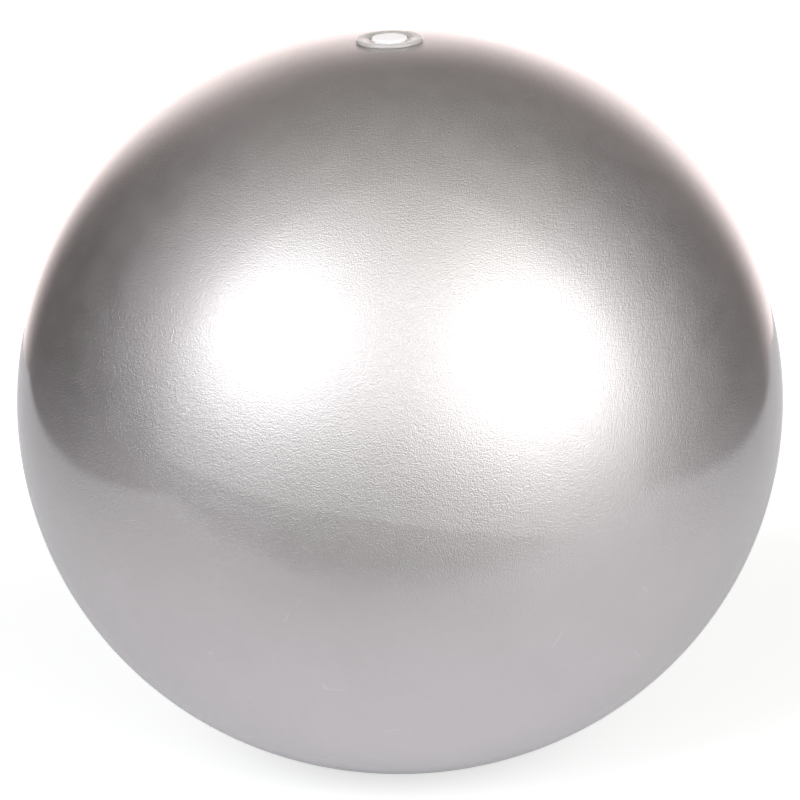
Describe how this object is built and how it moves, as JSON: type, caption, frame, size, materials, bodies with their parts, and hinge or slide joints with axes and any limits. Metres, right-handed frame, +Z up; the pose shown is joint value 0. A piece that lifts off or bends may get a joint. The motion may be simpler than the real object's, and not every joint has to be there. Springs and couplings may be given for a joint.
{
  "type": "exercise ball",
  "caption": "Small inflatable exercise ball: hollow silver-grey vinyl skin, slightly flattened at its poles, with a clear valve seat on top and a white push-in plug.",
  "frame": {"origin": "centre of the flat patch that the inflated ball rests on, at floor level", "axes": "+Z up along the valve axis, from the floor to the plug; every piece is round about Z, so X and Y are free"},
  "size_m": [0.25, 0.25, 0.2403],
  "materials": {
    "skin_vinyl": "satin",
    "clear_vinyl": "gloss",
    "plug_plastic": "satin"
  },
  "bodies": {
    "ball": {"ball_skin": "skin_vinyl", "valve_seat": "clear_vinyl"},
    "plug": {"valve_plug": "plug_plastic"}
  },
  "joints": [
    {"name": "plug_pull", "type": "slide", "parent": "ball", "child": "plug", "axis": [0, 0, 1], "range_m": [0, 0.03]}
  ]
}
